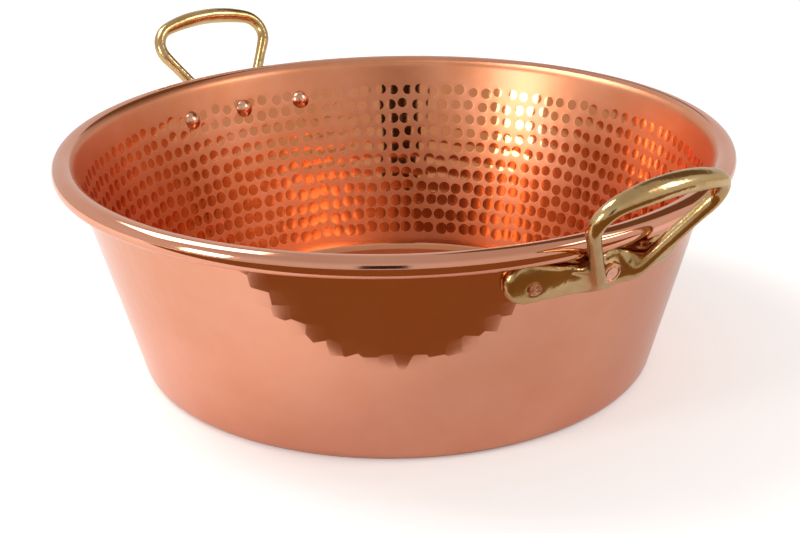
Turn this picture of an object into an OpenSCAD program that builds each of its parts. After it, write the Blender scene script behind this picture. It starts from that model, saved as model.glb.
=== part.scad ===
// Copper jam pan: one hammered sheet rolled over a wire at the rim, with two
// cast brass loop handles, each held by three copper rivets.
// Millimetres, +Z up. Origin: centre of the underside. Handles lie on +X and -X.

/* [Pan] */
// Outer diameter over the rolled rim
rim_d = 400; // [340:1:460]
// Height from the underside to the top of the rolled rim
pan_h = 134; // [115:1:160]
// Diameter where the wall and the base would meet without their rounded corner
base_d = 310; // [270:1:340]
// Outer radius of the corner between base and wall
corner_r = 8; // [5:0.5:16]
// Thickness of the copper sheet
sheet_t = 2; // [1.2:0.1:2.6]

/* [Rolled rim] */
// Outer diameter of the roll
roll_d = 12; // [10:0.5:16]
// How far round the wire the sheet is turned, in degrees from the top of the roll
roll_turn = 290; // [240:1:292]
// Gap between the wire and the wall beside it
wire_side_gap = 1.3; // [0.9:0.1:2]
// Gap left where the two ends of the wire ring meet
wire_end_gap = 2; // [0.5:0.5:6]

/* [Handle foot] */
// Drop from the top of the rolled rim to the rivet row on the outside of the wall
rivet_drop = 24.5; // [22:0.5:39]
// Distance from the centre rivet to each outer rivet, measured along the wall
rivet_pitch = 43.5; // [38:0.5:48]
// Thickness of the foot at its centre
foot_t = 8; // [6:0.5:10]
// Crown of the foot: how much thinner it is 12 mm above or below the rivet row
foot_crown = 2.5; // [1:0.5:4]
// How far the centre of the foot's outer curve is moved out from the pan's axis
foot_bow = 30; // [10:1:60]
// Radius of each end lobe
lobe_r = 12.2; // [11:0.1:14]
// Distance from the foot's centre to each lobe's centre
lobe_x = 46; // [43:0.5:54]
// Radius of the middle of the foot
middle_r = 13; // [11:0.5:15]
// Radius of the hollow curve that draws in the neck between middle and lobe
neck_r = 70; // [50:1:110]

/* [Handle loop] */
// Lean of the loop away from the vertical
loop_lean = 32; // [22:1:40]
// Gap between the legs and the rolled rim
loop_gap = 1.7; // [1:0.1:5]
// Height of the grip's centre line above the point that passes the rim, along the loop
grip_rise = 52; // [44:1:62]
// Width of the loop between centre lines at its widest
loop_w = 80.5; // [70:0.5:92]
// Radius of the loop's upper corners on the centre line
loop_corner_r = 14; // [10:0.5:18]
// Radius of the grip's shallow arch on the centre line
grip_arch_r = 105; // [80:5:220]
// Width between the legs where they leave the loop's plane for the foot
ankle_w = 30; // [26:1:36]
// Width between the legs where they enter the foot
root_w = 23; // [20:1:26]
// Grip size in the plane of the loop
grip_w = 10.5; // [8:0.1:13]
// Grip size across the plane of the loop
grip_t = 13; // [9:0.1:16]
// Leg size in the plane of the loop
leg_w = 7.5; // [6:0.1:9]
// Leg size across the plane of the loop
leg_t = 9; // [7:0.1:11]

/* [Rivets] */
// Shank diameter
shank_d = 7.3; // [5:0.1:8.5]
// Diameter of the domed head inside the pan
head_d = 12; // [10:0.5:15]
// Height of the domed head
head_h = 3.5; // [2:0.1:5]
// Diameter of the flat disc that closes the centre rivet
disc_d = 11.5; // [10:0.5:13]
// Thickness of that disc
disc_t = 2; // [1.5:0.1:3]
// How far closed rivet ends stand out of the foot
end_proud = 0.4; // [0.2:0.1:1]

/* [Clearances] */
// Gap between the foot and the wall that it lies on
foot_gap = 0.1; // [0.05:0.01:0.3]
// Radial gap round a rivet shank in its hole
shank_gap = 0.05; // [0.02:0.01:0.2]
// Gap under a rivet head, which lets its flat seat clear the curved wall
head_gap = 0.15; // [0.12:0.01:0.4]
// Radial gap between the wire and the sheet rolled over it
wire_gap = 0.1; // [0.05:0.01:0.3]

/* [Hidden] */
$fn = 144;

base_r = base_d / 2;
roll_r = roll_d / 2;
roll_x = rim_d / 2 - roll_r;
roll_z = pan_h - roll_r;
wire_r = roll_r - sheet_t - wire_gap;
far = 3 * rim_d;

// The outside of the wall is the line from the base edge that passes the wire
// with its side gap.
wire_to_wall = wire_r + wire_side_gap;
wall_lean = atan2(roll_x - base_r, roll_z)
          - asin(wire_to_wall / norm([roll_x - base_r, roll_z]));
wall_out = [cos(wall_lean), -sin(wall_lean)];
wall_up = [sin(wall_lean), cos(wall_lean)];

function wall_r(z) = base_r + z * tan(wall_lean);
function arc(c, r, from, to, n) =
    [for (i = [0:n]) c + r * [cos(from + (to - from) * i / n),
                              sin(from + (to - from) * i / n)]];

corner = [base_r + corner_r * (tan(wall_lean) - 1 / cos(wall_lean)), corner_r];

// The sheet bends outwards over this arc before it goes round the wire.
bend_r = (wire_to_wall + sheet_t - roll_r * sin(wall_lean)) / (1 - sin(wall_lean));
roll_c = [roll_x, roll_z];
bend_c = [roll_x, pan_h - bend_r];

// Rivet row
rivet_z = pan_h - rivet_drop;
rivet_seat = [wall_r(rivet_z), 0, rivet_z];
rivet_turn = rivet_pitch / wall_r(rivet_z) * 180 / PI;

// The foot's outer face bows about an axis that lies nearer to the handle.
crown_chord = 12;
crown_r = (crown_chord * crown_chord + foot_crown * foot_crown) / (2 * foot_crown);
face_x = wall_r(rivet_z) + foot_t * wall_out[0];
function face_r(turn) = foot_bow * cos(turn)
    + sqrt(pow(face_x - foot_bow, 2) - pow(foot_bow * sin(turn), 2));
function foot_depth(turn) =
    foot_t - (face_x - face_r(turn)) / wall_out[0];

// Plane of the loop, measured from the point that passes the rim
loop_off = roll_r + loop_gap + leg_t / 2;
loop_n = [cos(loop_lean), 0, -sin(loop_lean)];
loop_v = [sin(loop_lean), 0, cos(loop_lean)];
loop_o = [roll_x, 0, roll_z] + loop_off * loop_n;
function on_loop(p) = loop_o + p[0] * [0, 1, 0] + p[1] * loop_v;

// Centre line of half the loop: root, ankle, straight leg, corner, half of the grip
loop_corner = [loop_w / 2 - loop_corner_r,
               grip_rise - grip_arch_r
               + sqrt(pow(grip_arch_r - loop_corner_r, 2)
                      - pow(loop_w / 2 - loop_corner_r, 2))];
ankle = [ankle_w / 2, -12];
to_ankle = ankle - loop_corner;
leg_end_turn = atan2(to_ankle[1], to_ankle[0]) + acos(loop_corner_r / norm(to_ankle));
arch_c = [0, grip_rise - grip_arch_r];
arch_turn = atan2(loop_corner[1] - arch_c[1], loop_corner[0]);
leg_top = loop_corner + loop_corner_r * [cos(leg_end_turn), sin(leg_end_turn)];
leg_dir = (leg_top - ankle) / norm(leg_top - ankle);
root_z = rivet_z - 5;
root = [wall_r(root_z) + foot_t / 4, root_w / 2, root_z];
knee = on_loop(ankle - 7.5 * leg_dir);

leg_steps = 5;
corner_steps = 12;
grip_steps = 7;
root_path = [for (i = [0:5]) let (s = i / 6)
    (1 - s) * (1 - s) * root + 2 * s * (1 - s) * knee + s * s * on_loop(ankle)];
leg_path = [for (i = [0:leg_steps - 1])
    on_loop(ankle + (leg_top - ankle) * i / leg_steps)];
corner_path = [for (p = arc(loop_corner, loop_corner_r, leg_end_turn,
                            arch_turn, corner_steps)) on_loop(p)];
grip_path = [for (i = [1:grip_steps])
    let (t = arch_turn + (90 - arch_turn) * i / grip_steps)
    on_loop(arch_c + grip_arch_r * [cos(t), sin(t)])];
half_path = concat(root_path, leg_path, corner_path, grip_path);
last = len(half_path) - 1;
loop_path = concat(half_path, [for (i = [last - 1:-1:0])
    [half_path[i][0], -half_path[i][1], half_path[i][2]]]);

// Section of the loop: thin legs swell into the grip and flare into the foot
function swell(p) = let (s = max(0, min(1, 1.25 - abs(p[1]) / (loop_w / 2))),
                         up = (p - loop_o) * loop_v > grip_rise / 2 ? 1 : 0)
    up * s * s * (3 - 2 * s);
function flare(p) = let (s = max(0, min(1, ((ankle[1] + 4) - (p - loop_o) * loop_v) / 16)))
    1 + 0.45 * s * s;
function half_w(p) = flare(p) * (leg_w + (grip_w - leg_w) * swell(p)) / 2;
function half_t(p) = flare(p) * (leg_t + (grip_t - leg_t) * swell(p)) / 2;
function unit(v) = v / norm(v);

// One flat outline of the sheet, from the base to the end of the roll
module sheet_outline() {
    difference() {
        union() {
            polygon([[0, 0], [corner[0], 0],
                     corner + corner_r * wall_out,
                     bend_c - (bend_r - sheet_t) * wall_out,
                     bend_c - bend_r * wall_out, [0, roll_z]]);
            intersection() {
                translate(corner) circle(corner_r);
                translate(corner) polygon([[0, 0], [0, -2 * corner_r],
                    [2 * corner_r, -2 * corner_r], 3 * corner_r * wall_out]);
            }
        }
        polygon([[-1, sheet_t], [corner[0], sheet_t], corner,
                 corner + (corner_r - sheet_t) * wall_out,
                 bend_c - bend_r * wall_out + 3 * wall_up * sheet_t,
                 [-1, pan_h]]);
        translate(corner) circle(corner_r - sheet_t);
    }
    bend_outline();
    roll_outline();
}

// Arc from the wall to the top of the roll
module bend_outline() {
    intersection() {
        translate(bend_c) difference() {
            circle(bend_r);
            circle(bend_r - sheet_t);
        }
        translate(bend_c) polygon([[0, 0], [0, 2 * bend_r],
            [-2 * bend_r, 2 * bend_r], -3 * bend_r * wall_out]);
    }
}

// Arc round the wire, from the top of the roll to the sheet's edge
module roll_outline() {
    translate(roll_c) difference() {
        circle(roll_r);
        circle(roll_r - sheet_t);
        polygon(concat([[0, 0]],
            arc([0, 0], 2 * roll_r, 90, 90 + 360 - roll_turn, 6)));
    }
}

// Puts a rivet or its hole, drawn along +X from the wall's outer face, in place
module at_rivet(side, turn) {
    rotate([0, 0, side + turn * rivet_turn])
        translate(rivet_seat) rotate([0, wall_lean, 0]) children();
}

module along_x(from, to, r) {
    translate([from, 0, 0]) rotate([0, 90, 0]) cylinder(r = r, h = to - from);
}

module pan_shell() {
    color("chocolate") difference() {
        rotate_extrude() sheet_outline();
        for (side = [0, 180], turn = [-1, 0, 1])
            at_rivet(side, turn) along_x(-3 * sheet_t, sheet_t, shank_d / 2 + shank_gap);
    }
}

module rim_wire() {
    end_turn = wire_end_gap / roll_x * 180 / PI;
    color("dimgray") rotate([0, 0, end_turn / 2]) rotate_extrude(angle = 360 - end_turn)
        translate(roll_c) circle(wire_r);
}

// Outline of the foot: two lobes and a middle, joined by hollow curves
function foot_quarter() = let (
        a = middle_r + neck_r,
        b = lobe_r + neck_r,
        neck_x = (a * a - b * b + lobe_x * lobe_x) / (2 * lobe_x),
        neck_y = sqrt(a * a - neck_x * neck_x),
        to_middle = atan2(neck_y, neck_x),
        to_lobe = atan2(neck_y, neck_x - lobe_x))
    concat(arc([0, 0], middle_r, 90 - 4, to_middle + 4, 5),
           arc([neck_x, neck_y], neck_r, to_middle + 180, to_lobe + 180, 8),
           arc([lobe_x, 0], lobe_r, to_lobe - 8, 6, 9));

module foot_outline() {
    q = foot_quarter();
    n = len(q) - 1;
    polygon(concat(q, [for (i = [n:-1:0]) [q[i][0], -q[i][1]]],
                   [for (i = [0:n]) -q[i]], [for (i = [n:-1:0]) [-q[i][0], q[i][1]]]));
}

module foot() {
    intersection() {
        difference() {
            translate([foot_bow, 0, 0]) rotate([0, 0, -40]) rotate_extrude(angle = 80)
                intersection() {
                    translate([face_x - foot_bow, rivet_z - foot_t * sin(wall_lean)]
                              - crown_r * wall_out) circle(crown_r);
                    translate([base_r - foot_bow - 20, 0]) square([far, far]);
                }
            cylinder(r1 = base_r + foot_gap / cos(wall_lean),
                     r2 = wall_r(2 * pan_h) + foot_gap / cos(wall_lean), h = 2 * pan_h);
        }
        translate(rivet_seat) rotate([0, wall_lean, 0]) translate([-40, 0, 0])
            rotate([90, 0, 90]) linear_extrude(60) foot_outline();
    }
}

// Tube swept along the loop's centre line
module loop() {
    sides = 16;
    n = len(loop_path);
    points = [for (i = [0:n - 1]) let (
            p = loop_path[i],
            t = unit(loop_path[min(i + 1, n - 1)] - loop_path[max(i - 1, 0)]),
            e = unit(loop_n - (loop_n * t) * t),
            f = cross(t, e))
        for (k = [0:sides - 1]) let (turn = 360 * k / sides)
            p + half_t(p) * cos(turn) * e + half_w(p) * sin(turn) * f];
    skin = [for (i = [0:n - 2], k = [0:sides - 1])
        let (a = i * sides + k, b = i * sides + (k + 1) % sides)
        each [[a, a + sides, b], [b, a + sides, b + sides]]];
    caps = [[for (k = [0:sides - 1]) k],
            [for (k = [sides - 1:-1:0]) (n - 1) * sides + k]];
    polyhedron(points, concat(skin, caps));
}

module handle(side) {
    difference() {
        rotate([0, 0, side]) {
            foot();
            loop();
        }
        for (turn = [-1, 0, 1])
            at_rivet(side, turn) along_x(-5, 2 * foot_t, shank_d / 2 + shank_gap);
        at_rivet(side, 0) along_x(foot_t + end_proud - disc_t - shank_gap, 3 * foot_t,
                                  disc_d / 2 + shank_gap);
    }
}

module front_handle() { color("goldenrod") handle(0); }
module back_handle() { color("goldenrod") handle(180); }

// A rivet: domed head inside the pan, shank, and a closed end outside the foot
module rivet(side, turn) {
    seat = -sheet_t - head_gap;
    end = foot_depth(turn * rivet_turn) + end_proud;
    dome_r = (head_d * head_d / 4 + head_h * head_h) / (2 * head_h);
    color("sienna") at_rivet(side, turn) {
        along_x(seat, end, shank_d / 2);
        intersection() {
            translate([seat - head_h + dome_r, 0, 0]) sphere(dome_r);
            along_x(seat - head_h - 1, seat, head_d);
        }
        if (turn == 0) difference() {
            along_x(end - disc_t, end, disc_d / 2);
            along_x(end - disc_t / 4, end + 1, disc_d / 2 - disc_t / 2);
        }
    }
}

module front_left_rivet() { rivet(0, -1); }
module front_centre_rivet() { rivet(0, 0); }
module front_right_rivet() { rivet(0, 1); }
module back_left_rivet() { rivet(180, -1); }
module back_centre_rivet() { rivet(180, 0); }
module back_right_rivet() { rivet(180, 1); }

pan_shell();
rim_wire();
front_handle();
back_handle();
front_left_rivet();
front_centre_rivet();
front_right_rivet();
back_left_rivet();
back_centre_rivet();
back_right_rivet();
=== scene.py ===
from math import atan2, cos, degrees, hypot, pi, radians, sin, tan

import bmesh
import bpy
from mathutils import Matrix, Vector


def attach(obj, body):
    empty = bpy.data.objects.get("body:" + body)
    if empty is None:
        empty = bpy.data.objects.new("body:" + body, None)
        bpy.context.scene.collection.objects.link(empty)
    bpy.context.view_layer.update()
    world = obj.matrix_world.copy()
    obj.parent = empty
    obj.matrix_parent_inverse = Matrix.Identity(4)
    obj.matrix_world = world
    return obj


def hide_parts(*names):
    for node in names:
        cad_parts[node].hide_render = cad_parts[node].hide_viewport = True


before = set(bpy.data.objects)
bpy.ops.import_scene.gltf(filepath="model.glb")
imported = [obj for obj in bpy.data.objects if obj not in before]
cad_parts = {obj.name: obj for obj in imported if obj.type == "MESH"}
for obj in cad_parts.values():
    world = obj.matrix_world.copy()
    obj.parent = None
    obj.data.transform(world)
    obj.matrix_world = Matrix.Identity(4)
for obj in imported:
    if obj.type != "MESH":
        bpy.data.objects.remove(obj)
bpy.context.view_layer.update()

# Bowl, in metres
BASE_R = 0.155            # where the wall's outside meets the floor, before the corner is rounded
PAN_H = 0.134
SHEET = 0.002
CORNER_R = 0.008
ROLL_R = 0.006
ROLL_X = 0.194            # from the axis to the roll's middle
ROLL_TURN = 290           # degrees that the sheet goes round the wire
WIRE_TO_WALL = 0.0052     # from the roll's middle to the line of the wall's outside
MIDDLE_R = 0.02           # smallest ring of the base and of the floor
PLAIN_COLUMNS = 210       # columns of the mesh where there are no hammer marks

roll_z = PAN_H - ROLL_R
reach = hypot(ROLL_X - BASE_R, roll_z)
wall_lean = atan2(ROLL_X - BASE_R, roll_z) - atan2(WIRE_TO_WALL, (reach ** 2 - WIRE_TO_WALL ** 2) ** 0.5)
wall_out = Vector((cos(wall_lean), -sin(wall_lean)))
bend_r = (WIRE_TO_WALL + SHEET - ROLL_R * sin(wall_lean)) / (1 - sin(wall_lean))

# Hammer marks on the inner wall
MARKS_ROUND = 120
MARK_ROWS = 11
MARKS_FROM_Z = 0.0125
MARKS_TO_Z = 0.1170
MARK_R = 0.0030
MARK_DEPTH = 0.00012
MARK_UNEVEN = 0.22        # room that a mark has to stray, as a share of the spacing
MARK_SIDE = (0.75, 1.40)  # from full depth to none, as shares of the mark's radius
DEPTH_LEAST = 0.7         # shallowest mark, as a share of the depth
DEPTH_SPREAD = 0.6
STEPS_PER_MARK = 7        # columns and rings of the mesh across one mark

mark_rise = (MARKS_TO_Z - MARKS_FROM_Z) / MARK_ROWS

# Numbers that scatter the marks: only their disorder matters
ROW_WAVE, ROW_SPREAD, ROW_LIFT = 4.71, 3.17, 10.0
CELL_SPREAD, CELL_LIFT = 437.585, 1000.0
STRAY_ACROSS = (12.9898, 78.233)
STRAY_ALONG = (39.3468, 11.135)
OWN_NUMBER = (73.156, 52.235)

# Shallow dishes on the outer wall
DISHES_ROUND = 126
DISH_RISE = 0.0092
DISH_UNEVEN = 0.55
DISHES_TOP = (0.1225, 0.1205)
DISHES_FOOT = (0.030, 0.075)

# Copper: heights and distances from the axis in metres, the rest without a unit
COPPER_COLOURS = ((0.10, (0.66, 0.225, 0.085)), (0.35, (0.76, 0.315, 0.17)),
                  (0.60, (0.81, 0.37, 0.24)), (0.85, (0.85, 0.43, 0.305)))
CLOUDS = (0.3, 0.7)       # range of the cloudy noise that is made use of
POLISH_R = 0.0028         # bright spot in the smallest mark
POLISH_SPREAD = 0.0006    # what the largest mark has more
POLISH_LOW = 0.0005       # what the low rows have more
LOW_ROWS = (0.075, 0.055)
POLISH_EDGE = 0.0006
ROLL_SIDE = (0.1905, 0.1880)
ROLL_FOOT = (0.1200, 0.1225)
FLOOR_EDGE = (0.004, 0.012)
POLISHED_ROUGH = (0.06, 0.10)
SATIN_ROUGH = 0.28        # what the ground between the marks has more
FINE_ROUGH = 0.02
TINT_START, TINT_CLOUDS, TINT_MARK, TINT_GROUND = 0.35, 0.5, -0.15, -0.30
COPPER_RELIEF = 0.00015
FINE_HEIGHT, CLOUD_HEIGHT = 0.01, 0.25

# Brass, rivets and wire
BRASS_COLOURS = ((0.25, (0.46, 0.28, 0.10)), (0.55, (0.59, 0.395, 0.18)), (0.80, (0.70, 0.50, 0.27)))
BRASS_ROUGH = (0.22, 0.12)
GRAIN_ROUGH, GRAIN_HEIGHT = 0.06, 0.05
BRASS_RELIEF = 0.0006
RIVET_COLOURS = ((0.3, (0.72, 0.36, 0.22)), (0.7, (0.86, 0.50, 0.35)))
RIVET_ROUGH = (0.16, 0.28)
RIVET_RELIEF = 0.0004
WIRE_COLOURS = ((0.3, (0.16, 0.15, 0.15)), (0.7, (0.30, 0.29, 0.29)))
WIRE_ROUGH = 0.42

# Handles
WELD = 0.00001            # points of the solid that are nearer than this are one point
CASTING_VOXEL = 0.0008
JOIN_R = 0.0060           # hollow of a handle's inside corners
EDGE_R = 0.0020           # rounding of its outside edges
SOFTEN_SHARE = 0.5
SOFTEN_TIMES = 3
LAST_SOFTEN_TIMES = 8

# Camera: lengths in metres, the lens and its sensor in millimetres, turns in degrees
HANDLE_TURN = radians(55.5)      # turns the photograph's view into the frame, with x through the handles
CAMERA_AWAY, CAMERA_UP = 0.8477, 0.3917
CAMERA_PITCH, CAMERA_YAW, CAMERA_ROLL = 21.97, -0.168, -1.096
CAMERA_NEAREST = 0.01
LENS, SENSOR = 66.8, 36.0

# Studio: places as the photograph sees them, to the right, towards the camera and up
AIM = (0, 0, 0.08)
SOFT_BOXES = (            # name, place, width and height, watts
    ("box_left", (-1.1, 0.71, 0.42), (0.34, 0.42), 4.9),
    ("box_high", (-0.9, -0.3, 1.4), (0.8, 0.8), 13),
    ("box_right", (1.1, 0.35, 0.9), (0.35, 0.6), 3.4))
UPRIGHT_CARDS = (         # name, start and end of the lower edge, lowest and highest, shade
    ("dark_card_high", (-0.36, 1.9), (0.12, 1.9), 0.15, 1.1, (0.03, 0.015, 0.01)),
    ("dark_card_back", (0.15, -1.6), (1.7, -0.6), 0.80, 2.3, (0.16, 0.10, 0.045)))
LOW_CARD_SIDE, LOW_CARD_NEAR, LOW_CARD_FAR = 0.9, 0.219, 1.3
LOW_CARD_Z = 0.0005
LOW_CARD_SHADE = (0.26, 0.12, 0.035)
SKY = ((0.0, (0.72, 0.72, 0.72)), (0.45, (0.72, 0.71, 0.70)),
       (0.80, (0.55, 0.53, 0.51)), (1.0, (0.55, 0.53, 0.51)))
FLOOR_HALF = 9
FLOOR_COLOUR = (0.93, 0.925, 0.92, 1)
FLOOR_ROUGH = 0.9
FLOOR_GLOW = 0.27         # what the camera alone sees, so that the floor goes to white
WHITE = (1, 1, 1, 1)


# Node trees
class Maths:
    """Writes sums as nodes. It works in a material's tree and in a Geometry Nodes tree."""

    def __init__(self, tree):
        self.tree = tree

    def feed(self, socket, value):
        if isinstance(value, bpy.types.NodeSocket):
            self.tree.links.new(value, socket)
        else:
            socket.default_value = value

    def do(self, operation, *values):
        node = self.tree.nodes.new("ShaderNodeMath")
        node.operation = operation
        for socket, value in zip(node.inputs, values):
            self.feed(socket, value)
        return node.outputs[0]

    def add(self, first, *values):
        total = first
        for value in values:
            total = self.do("ADD", total, value)
        return total

    def times(self, first, *values):
        product = first
        for value in values:
            product = self.do("MULTIPLY", product, value)
        return product

    def less(self, a, b):
        return self.do("SUBTRACT", a, b)

    def over(self, a, b):
        return self.do("DIVIDE", a, b)

    def length(self, a, b):
        return self.do("SQRT", self.add(self.times(a, a), self.times(b, b)))

    def smooth(self, value, low, high, at_low=0.0, at_high=1.0):
        """Runs smoothly from at_low to at_high as value goes from low to high."""
        node = self.tree.nodes.new("ShaderNodeMapRange")
        node.interpolation_type = "SMOOTHSTEP"
        for name, given in (("Value", value), ("From Min", low), ("From Max", high),
                            ("To Min", at_low), ("To Max", at_high)):
            self.feed(node.inputs[name], given)
        return node.outputs["Result"]


def hammer_marks(maths, x, y, z, marks_round, first_z, rise, rows, uneven):
    """Nodes that give, at a point of the wall, how far it is from its mark's middle in metres,
    a number of the mark's own from 0 to 1, and 1 inside the hammered band."""
    level = maths.over(maths.less(z, first_z), rise)
    row = maths.do("FLOOR", level)
    row_wave = maths.do("SINE", maths.times(row, ROW_WAVE))
    shift = maths.do("FRACT", maths.add(maths.times(row_wave, ROW_SPREAD), ROW_LIFT))
    turn = maths.over(maths.do("ARCTAN2", y, x), 2 * pi)
    place = maths.add(maths.times(turn, marks_round), shift, marks_round)
    column = maths.do("FLOOR", place)
    column_id = maths.do("MODULO", column, marks_round)

    def scatter(by_column, by_row):
        wave = maths.do("SINE", maths.add(maths.times(column_id, by_column), maths.times(row, by_row)))
        return maths.do("FRACT", maths.add(maths.times(wave, CELL_SPREAD), CELL_LIFT))

    off_x = maths.times(maths.less(scatter(*STRAY_ACROSS), 0.5), uneven)
    off_y = maths.times(maths.less(scatter(*STRAY_ALONG), 0.5), uneven)
    own = scatter(*OWN_NUMBER)
    across = maths.less(maths.less(place, column), maths.add(off_x, 0.5))
    along = maths.less(maths.less(level, row), maths.add(off_y, 0.5))
    cell = maths.over(maths.times(maths.length(x, y), 2 * pi), marks_round)
    away = maths.length(maths.times(across, cell), maths.times(along, rise, 1 / cos(wall_lean)))
    band = maths.times(maths.do("GREATER_THAN", level, 0.0), maths.do("LESS_THAN", level, rows))
    return away, own, band


def inside_sheet(maths, x, y, z):
    """Nodes that give 1 on the wall's inner side and 0 on its outer side."""
    middle_wall = maths.add(maths.times(z, tan(wall_lean)), BASE_R - SHEET / 2 / cos(wall_lean))
    return maths.do("LESS_THAN", maths.length(x, y), middle_wall)


# Materials
def new_material(name):
    material = bpy.data.materials.new(name)
    material.use_nodes = True
    tree = material.node_tree
    return material, tree, tree.nodes["Principled BSDF"]


def object_point(tree):
    place = tree.nodes.new("ShaderNodeTexCoord").outputs["Object"]
    split = tree.nodes.new("ShaderNodeSeparateXYZ")
    tree.links.new(place, split.inputs[0])
    return place, split.outputs


def noise(tree, place, scale, detail=3.0, roughness=0.5):
    node = tree.nodes.new("ShaderNodeTexNoise")
    node.inputs["Scale"].default_value = scale
    node.inputs["Detail"].default_value = detail
    node.inputs["Roughness"].default_value = roughness
    tree.links.new(place, node.inputs["Vector"])
    return node.outputs["Fac"]


def colours(tree, factor, stops):
    """A colour ramp of stops (position, colour), driven by factor."""
    ramp = tree.nodes.new("ShaderNodeValToRGB")
    for element, (position, colour) in zip(ramp.color_ramp.elements, (stops[0], stops[-1])):
        element.position = position
        element.color = (*colour, 1)
    for position, colour in stops[1:-1]:
        ramp.color_ramp.elements.new(position).color = (*colour, 1)
    tree.links.new(factor, ramp.inputs[0])
    return ramp.outputs[0]


def relief(tree, height, distance):
    bump = tree.nodes.new("ShaderNodeBump")
    bump.inputs["Distance"].default_value = distance
    bump.inputs["Strength"].default_value = 1.0
    tree.links.new(height, bump.inputs["Height"])
    return bump.outputs["Normal"]


def make_metal(tree, shader, colour, rough, normal=None):
    tree.links.new(colour, shader.inputs["Base Color"])
    Maths(tree).feed(shader.inputs["Roughness"], rough)
    if normal is not None:
        tree.links.new(normal, shader.inputs["Normal"])
    shader.inputs["Metallic"].default_value = 1.0


def planished(tree, maths, x, y, z):
    """Height of the shallow dishes left on the outside, which meet in ridges. Their seam is behind the
    back handle."""
    cells = tree.nodes.new("ShaderNodeTexVoronoi")
    cells.voronoi_dimensions = "2D"
    cells.inputs["Scale"].default_value = 1.0
    cells.inputs["Randomness"].default_value = DISH_UNEVEN
    place = tree.nodes.new("ShaderNodeCombineXYZ")
    maths.feed(place.inputs[0], maths.times(maths.do("ARCTAN2", y, x), DISHES_ROUND / (2 * pi)))
    maths.feed(place.inputs[1], maths.over(z, DISH_RISE))
    tree.links.new(place.outputs[0], cells.inputs["Vector"])
    return maths.times(cells.outputs["Distance"], cells.outputs["Distance"])


def copper_hammered():
    """Bowl: polished hammer marks on a duller ground inside, faint dishes outside, a smooth roll."""
    material, tree, shader = new_material("copper_hammered")
    maths = Maths(tree)
    place, (x, y, z) = object_point(tree)
    away, own, band = hammer_marks(maths, x, y, z, MARKS_ROUND, MARKS_FROM_Z, mark_rise, MARK_ROWS,
                                   MARK_UNEVEN)
    inside = inside_sheet(maths, x, y, z)
    polish_r = maths.add(POLISH_R, maths.times(own, POLISH_SPREAD),
                         maths.smooth(z, *LOW_ROWS, 0.0, POLISH_LOW))
    spot = maths.smooth(away, polish_r, maths.add(polish_r, POLISH_EDGE), 1.0, 0.0)
    mark = maths.times(spot, band, inside)
    cloudy = noise(tree, place, scale=22.0, detail=4.0, roughness=0.6)
    fine = noise(tree, place, scale=900.0, detail=2.0)
    up_to_roll = maths.times(maths.smooth(maths.length(x, y), *ROLL_SIDE), maths.smooth(z, *ROLL_FOOT))
    ground = maths.do("MAXIMUM", inside, up_to_roll)
    satin = maths.times(ground, maths.less(1.0, mark), maths.smooth(z, *FLOOR_EDGE))
    rough = maths.add(maths.smooth(cloudy, *CLOUDS, *POLISHED_ROUGH), maths.times(satin, SATIN_ROUGH),
                      maths.times(fine, FINE_ROUGH))
    tint = maths.add(maths.times(cloudy, TINT_CLOUDS), maths.times(mark, TINT_MARK),
                     maths.times(ground, TINT_GROUND), TINT_START)
    dishes = maths.times(planished(tree, maths, x, y, z), maths.less(1.0, inside),
                         maths.smooth(z, *DISHES_TOP), maths.smooth(z, *DISHES_FOOT))
    height = maths.add(dishes, maths.times(fine, FINE_HEIGHT), maths.times(cloudy, CLOUD_HEIGHT))
    make_metal(tree, shader, colours(tree, tint, COPPER_COLOURS), rough, relief(tree, height, COPPER_RELIEF))
    return material


def cast_brass():
    """Handles: yellow cast brass, buffed, with the faint waves of a casting."""
    material, tree, shader = new_material("cast_brass")
    maths = Maths(tree)
    place, _ = object_point(tree)
    cloudy = noise(tree, place, scale=45.0, detail=4.0, roughness=0.6)
    grain = noise(tree, place, scale=700.0)
    rough = maths.add(maths.smooth(cloudy, *CLOUDS, *BRASS_ROUGH), maths.times(grain, GRAIN_ROUGH))
    height = maths.add(cloudy, maths.times(grain, GRAIN_HEIGHT))
    make_metal(tree, shader, colours(tree, cloudy, BRASS_COLOURS), rough, relief(tree, height, BRASS_RELIEF))
    return material


def copper_rivet():
    """Rivets: the bowl's copper, a little duller, with the marks of the hammer that closed them."""
    material, tree, shader = new_material("copper_rivet")
    place, _ = object_point(tree)
    cloudy = noise(tree, place, scale=260.0, detail=2.0)
    rough = Maths(tree).smooth(cloudy, *CLOUDS, *RIVET_ROUGH)
    make_metal(tree, shader, colours(tree, cloudy, RIVET_COLOURS), rough, relief(tree, cloudy, RIVET_RELIEF))
    return material


def drawn_wire():
    """Rim wire: drawn steel, hidden in the roll but for its edge."""
    material, tree, shader = new_material("drawn_wire")
    place, _ = object_point(tree)
    make_metal(tree, shader, colours(tree, noise(tree, place, scale=400.0), WIRE_COLOURS), WIRE_ROUGH)
    return material


# Bowl
def new_object(name, data):
    obj = bpy.data.objects.new(name, data)
    bpy.context.collection.objects.link(obj)
    return obj


def on_circle(centre, radius, angle):
    return centre[0] + radius * cos(radians(angle)), centre[1] + radius * sin(radians(angle))


def arc(centre, radius, start, end, steps):
    """Points (distance from the axis, height) along an arc, angles in degrees, without its first point."""
    return [on_circle(centre, radius, start + (end - start) * i / steps) for i in range(1, steps + 1)]


def between(a, b, steps):
    """Points along a straight line, without its first point."""
    return [(a[0] + (b[0] - a[0]) * i / steps, a[1] + (b[1] - a[1]) * i / steps) for i in range(1, steps + 1)]


def inner_wall(z):
    return BASE_R + z * tan(wall_lean) - SHEET / cos(wall_lean)


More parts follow.
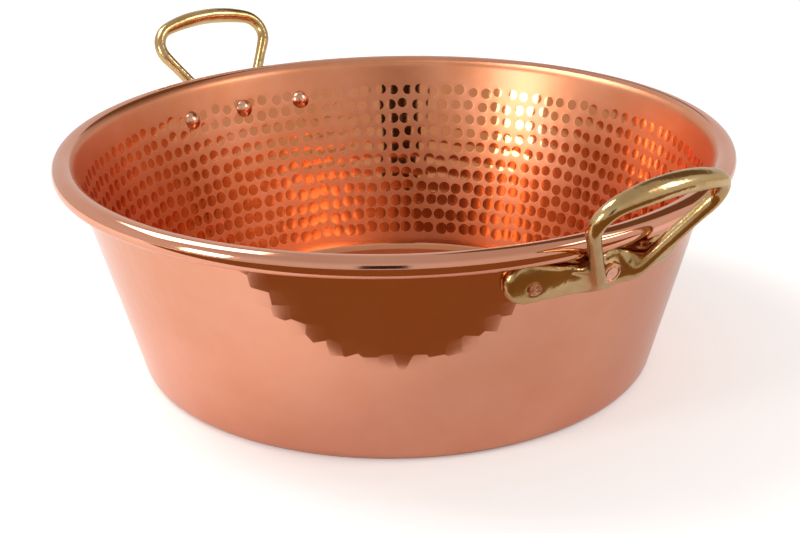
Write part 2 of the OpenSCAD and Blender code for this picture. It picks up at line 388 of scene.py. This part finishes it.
def bowl_section():
    """The sheet's outline from the underside's middle, round the roll and back to the floor's middle,
    as the points above the hammered band, those in it and those below it."""
    lean = degrees(wall_lean)
    corner = (BASE_R + CORNER_R * (tan(wall_lean) - 1 / cos(wall_lean)), CORNER_R)
    bend = Vector((ROLL_X, PAN_H - bend_r))
    roll = (ROLL_X, roll_z)
    roll_end = 90 - ROLL_TURN
    underside = [(MIDDLE_R, 0.0)] + between((MIDDLE_R, 0.0), (corner[0], 0.0), steps=6)
    outer_corner = arc(corner, CORNER_R, -90, -lean, steps=8)
    outer_wall = between(outer_corner[-1], tuple(bend - (bend_r - SHEET) * wall_out), steps=16)
    into_roll = arc(bend, bend_r - SHEET, 180 - lean, 90, steps=8)
    inside_roll = arc(roll, ROLL_R - SHEET, 90, roll_end, steps=22)
    outside_roll = [on_circle(roll, ROLL_R, roll_end)] + arc(roll, ROLL_R, roll_end, 90, steps=36)
    over_bend = arc(bend, bend_r, 90, 180 - lean, steps=10)
    band_top = (inner_wall(MARKS_TO_Z), MARKS_TO_Z)
    band_foot = (inner_wall(MARKS_FROM_Z), MARKS_FROM_Z)
    smooth_band = between(over_bend[-1], band_top, steps=5)
    marks = between(band_top, band_foot, steps=MARK_ROWS * STEPS_PER_MARK)
    wall_foot = between(band_foot, on_circle(corner, CORNER_R - SHEET, -lean), steps=2)
    inner_corner = arc(corner, CORNER_R - SHEET, -lean, -90, steps=7)
    floor_line = between(inner_corner[-1], (MIDDLE_R, SHEET), steps=7)
    above = (underside + outer_corner + outer_wall + into_roll + inside_roll + outside_roll + over_bend
             + smooth_band)
    return above, marks, wall_foot + inner_corner + floor_line


def even_faces(upper, lower):
    """Faces between two rings of as many columns. A ring is its first point's number and its columns."""
    (a, columns), (b, _) = upper, lower
    return [(a + i, a + (i + 1) % columns, b + (i + 1) % columns, b + i) for i in range(columns)]


def fan_faces(few, many, way):
    """Faces between a ring of few columns and one of many: each of the few has a fan of the many."""
    (start, columns), (far_start, far_columns) = few, many
    share = far_columns // columns
    half = share // 2
    faces = []
    for i in range(columns):
        here, after = start + i, start + (i + 1) % columns
        fan = [far_start + (i * share + k) % far_columns for k in range(share + 1)]
        faces.extend((here, fan[k + 1], fan[k])[::way] for k in range(half))
        faces.append((here, after, fan[half])[::way])
        faces.extend((after, fan[k + 1], fan[k])[::way] for k in range(half, share))
    return faces


def bowl_mesh():
    """Turns the outline round the axis, with many more columns in the hammered band."""
    above, marks, below = bowl_section()
    fine_columns = MARKS_ROUND * STEPS_PER_MARK
    rows = [(point, PLAIN_COLUMNS) for point in above]
    rows += [(point, fine_columns) for point in marks[:-1]]
    rows += [(point, PLAIN_COLUMNS) for point in marks[-1:] + below]
    points, rings, faces = [], [], []
    for (radius, height), columns in rows:
        rings.append((len(points), columns))
        points.extend((radius * cos(2 * pi * i / columns), radius * sin(2 * pi * i / columns), height)
                      for i in range(columns))
    for upper, lower in zip(rings, rings[1:]):
        if upper[1] == lower[1]:
            faces.extend(even_faces(upper, lower))
        elif upper[1] < lower[1]:
            faces.extend(fan_faces(upper, lower, 1))
        else:
            faces.extend(fan_faces(lower, upper, -1))
    for height, (start, columns), way in ((0.0, rings[0], -1), (SHEET, rings[-1], 1)):
        middle = len(points)
        points.append((0.0, 0.0, height))
        faces.extend((middle, start + i, start + (i + 1) % columns)[::way] for i in range(columns))

    mesh = bpy.data.meshes.new("hammered_bowl")
    mesh.from_pydata(points, [], faces)
    outward = bmesh.new()
    outward.from_mesh(mesh)
    bmesh.ops.recalc_face_normals(outward, faces=outward.faces)
    outward.to_mesh(mesh)
    outward.free()
    mesh.shade_smooth()
    return mesh


def hammering_tree(material):
    """Geometry Nodes that press the rows of hammer marks into the inner wall."""
    tree = bpy.data.node_groups.new("hammering", "GeometryNodeTree")
    maths = Maths(tree)
    face = tree.interface
    face.new_socket("Geometry", in_out="INPUT", socket_type="NodeSocketGeometry")
    face.new_socket("Geometry", in_out="OUTPUT", socket_type="NodeSocketGeometry")
    for name, value in (("Marks Round", MARKS_ROUND), ("First Height", MARKS_FROM_Z), ("Row Rise", mark_rise),
                        ("Rows", MARK_ROWS), ("Uneven", MARK_UNEVEN), ("Depth", MARK_DEPTH),
                        ("Mark Radius", MARK_R)):
        face.new_socket(name, in_out="INPUT", socket_type="NodeSocketFloat").default_value = value
    given = tree.nodes.new("NodeGroupInput").outputs
    split = tree.nodes.new("ShaderNodeSeparateXYZ")
    tree.links.new(tree.nodes.new("GeometryNodeInputPosition").outputs[0], split.inputs[0])
    x, y, z = split.outputs
    away, own, band = hammer_marks(maths, x, y, z, given["Marks Round"], given["First Height"],
                                   given["Row Rise"], given["Rows"], given["Uneven"])
    side = maths.smooth(maths.over(away, given["Mark Radius"]), *MARK_SIDE, 1.0, 0.0)
    press = maths.times(side, given["Depth"], band, inside_sheet(maths, x, y, z),
                        maths.add(DEPTH_LEAST, maths.times(own, DEPTH_SPREAD)))
    offset = tree.nodes.new("ShaderNodeVectorMath")
    offset.operation = "SCALE"
    tree.links.new(tree.nodes.new("GeometryNodeInputNormal").outputs[0], offset.inputs[0])
    tree.links.new(maths.times(press, -1.0), offset.inputs["Scale"])
    move = tree.nodes.new("GeometryNodeSetPosition")
    tree.links.new(given["Geometry"], move.inputs["Geometry"])
    tree.links.new(offset.outputs[0], move.inputs["Offset"])
    real = tree.nodes.new("GeometryNodeRealizeInstances")
    finish = tree.nodes.new("GeometryNodeSetMaterial")
    finish.inputs["Material"].default_value = material
    tree.links.new(move.outputs[0], real.inputs[0])
    tree.links.new(real.outputs[0], finish.inputs["Geometry"])
    tree.links.new(finish.outputs[0], tree.nodes.new("NodeGroupOutput").inputs[0])
    return tree


def plain_mesh(obj):
    """Applies an object's modifiers for good."""
    bpy.context.view_layer.update()
    evaluated = obj.evaluated_get(bpy.context.evaluated_depsgraph_get())
    mesh = bpy.data.meshes.new_from_object(evaluated)
    obj.modifiers.clear()
    obj.data = mesh
    mesh.shade_smooth()


def hammered_bowl(material):
    bowl = new_object("hammered_bowl", bowl_mesh())
    hammering = bowl.modifiers.new("hammering", "NODES")
    hammering.node_group = hammering_tree(material)
    plain_mesh(bowl)
    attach(bowl, "root")
    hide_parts("pan_shell")


# Handles, rivets and wire
def even_out(casting, times):
    """Gives the casting a new mesh of even small faces, softened a number of times."""
    remesh = casting.modifiers.new("remesh", "REMESH")
    remesh.mode = "VOXEL"
    remesh.voxel_size = CASTING_VOXEL
    soften = casting.modifiers.new("soften", "SMOOTH")
    soften.factor = SOFTEN_SHARE
    soften.iterations = times


def smooth_casting(node, material):
    """A handle with the soft joins of a casting. Growing its solid and shrinking it back fills the inside
    corners; shrinking it further and growing it back rounds the outside edges."""
    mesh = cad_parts[node].data.copy()
    joined = bmesh.new()
    joined.from_mesh(mesh)
    bmesh.ops.remove_doubles(joined, verts=joined.verts, dist=WELD)
    joined.to_mesh(mesh)
    joined.free()
    mesh.materials.clear()
    mesh.materials.append(material)
    casting = new_object(node + "_casting", mesh)
    for grow in (JOIN_R, -JOIN_R - EDGE_R, EDGE_R):
        even_out(casting, SOFTEN_TIMES)
        swell = casting.modifiers.new("swell", "DISPLACE")
        swell.strength = grow
        swell.mid_level = 0.0
    even_out(casting, LAST_SOFTEN_TIMES)
    plain_mesh(casting)
    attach(casting, "root")
    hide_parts(node)


def finish_node(node, material):
    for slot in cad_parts[node].material_slots:
        slot.material = material


# Camera and studio
def studio_place(sideways, towards, height):
    """A point given as the photograph sees it: to the right, towards the camera, and up."""
    return Matrix.Rotation(HANDLE_TURN, 3, "Z") @ Vector((sideways, -towards, height))


def camera():
    pitch, yaw, roll = radians(CAMERA_PITCH), radians(CAMERA_YAW), radians(CAMERA_ROLL)
    turn = Matrix.Rotation(yaw + HANDLE_TURN, 3, "Z")
    right = turn @ Vector((1, 0, 0))
    ahead = turn @ Vector((0, cos(pitch), -sin(pitch)))
    up = turn @ Vector((0, sin(pitch), cos(pitch)))
    right, up = cos(roll) * right + sin(roll) * up, -sin(roll) * right + cos(roll) * up
    data = bpy.data.cameras.new("camera")
    data.lens = LENS
    data.sensor_width = SENSOR
    data.sensor_fit = "HORIZONTAL"
    data.clip_start = CAMERA_NEAREST
    obj = new_object("camera", data)
    obj.matrix_world = Matrix((right, up, -ahead)).transposed().to_4x4()
    obj.location = studio_place(0, CAMERA_AWAY, CAMERA_UP)
    bpy.context.scene.camera = obj


def soft_box(name, place, size, power):
    data = bpy.data.lights.new(name, "AREA")
    data.shape = "RECTANGLE"
    data.size, data.size_y = size
    data.energy = power
    obj = new_object(name, data)
    obj.location = place
    obj.rotation_euler = (Vector(AIM) - Vector(place)).to_track_quat("-Z", "Y").to_euler()


def flat_sheet(name, corners, material):
    mesh = bpy.data.meshes.new(name)
    mesh.from_pydata(corners, [], [(0, 1, 2, 3)])
    mesh.materials.append(material)
    return new_object(name, mesh)


def card(name, corners, shade):
    """A flat card that only shows as a reflection."""
    material, tree, _ = new_material(name)
    glow = tree.nodes.new("ShaderNodeEmission")
    glow.inputs["Color"].default_value = (*shade, 1)
    tree.links.new(glow.outputs[0], tree.nodes["Material Output"].inputs["Surface"])
    obj = flat_sheet(name, corners, material)
    obj.visible_camera = obj.visible_diffuse = obj.visible_shadow = False


def floor():
    material, tree, shader = new_material("floor")
    shader.inputs["Base Color"].default_value = FLOOR_COLOUR
    shader.inputs["Roughness"].default_value = FLOOR_ROUGH
    shader.inputs["Specular IOR Level"].default_value = 0.0
    glow = tree.nodes.new("ShaderNodeEmission")
    seen = tree.nodes.new("ShaderNodeLightPath").outputs["Is Camera Ray"]
    tree.links.new(Maths(tree).times(seen, FLOOR_GLOW), glow.inputs["Strength"])
    both = tree.nodes.new("ShaderNodeAddShader")
    tree.links.new(shader.outputs[0], both.inputs[0])
    tree.links.new(glow.outputs[0], both.inputs[1])
    tree.links.new(both.outputs[0], tree.nodes["Material Output"].inputs["Surface"])
    corners = [(side * FLOOR_HALF, end * FLOOR_HALF, 0) for side, end in ((-1, -1), (1, -1), (1, 1), (-1, 1))]
    obj = flat_sheet("floor", corners, material)


def colour_socket(sockets, name):
    """The colour socket of that name, in a node that has the name once for each kind of value."""
    return next(socket for socket in sockets if socket.name == name and socket.type == "RGBA")


def sky():
    """A pale grey sky for reflections and light, and plain white for the camera."""
    world = bpy.data.worlds.new("studio")
    world.use_nodes = True
    tree = world.node_tree
    split = tree.nodes.new("ShaderNodeSeparateXYZ")
    tree.links.new(tree.nodes.new("ShaderNodeTexCoord").outputs["Generated"], split.inputs[0])
    seen = tree.nodes.new("ShaderNodeMix")
    seen.data_type = "RGBA"
    tree.links.new(tree.nodes.new("ShaderNodeLightPath").outputs["Is Camera Ray"], seen.inputs["Factor"])
    tree.links.new(colours(tree, split.outputs[2], SKY), colour_socket(seen.inputs, "A"))
    colour_socket(seen.inputs, "B").default_value = WHITE
    tree.links.new(colour_socket(seen.outputs, "Result"), tree.nodes["Background"].inputs["Color"])
    bpy.context.scene.world = world


def studio():
    sky()
    bpy.context.scene.view_settings.view_transform = "Standard"
    floor()
    for name, place, size, power in SOFT_BOXES:
        soft_box(name, studio_place(*place), size, power)
    for name, start, end, low, high, shade in UPRIGHT_CARDS:
        corners = ((*start, low), (*end, low), (*end, high), (*start, high))
        card(name, [studio_place(*corner) for corner in corners], shade)
    corners = [studio_place(side * LOW_CARD_SIDE, towards, LOW_CARD_Z) for side, towards in
               ((-1, LOW_CARD_NEAR), (1, LOW_CARD_NEAR), (1, LOW_CARD_FAR), (-1, LOW_CARD_FAR))]
    card("dark_card_low", corners, LOW_CARD_SHADE)


camera()
studio()
copper, brass, rivet, steel = copper_hammered(), cast_brass(), copper_rivet(), drawn_wire()
hammered_bowl(copper)
for handle in ("front_handle", "back_handle"):
    smooth_casting(handle, brass)
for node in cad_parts:
    if node.endswith("_rivet"):
        finish_node(node, rivet)
finish_node("rim_wire", steel)
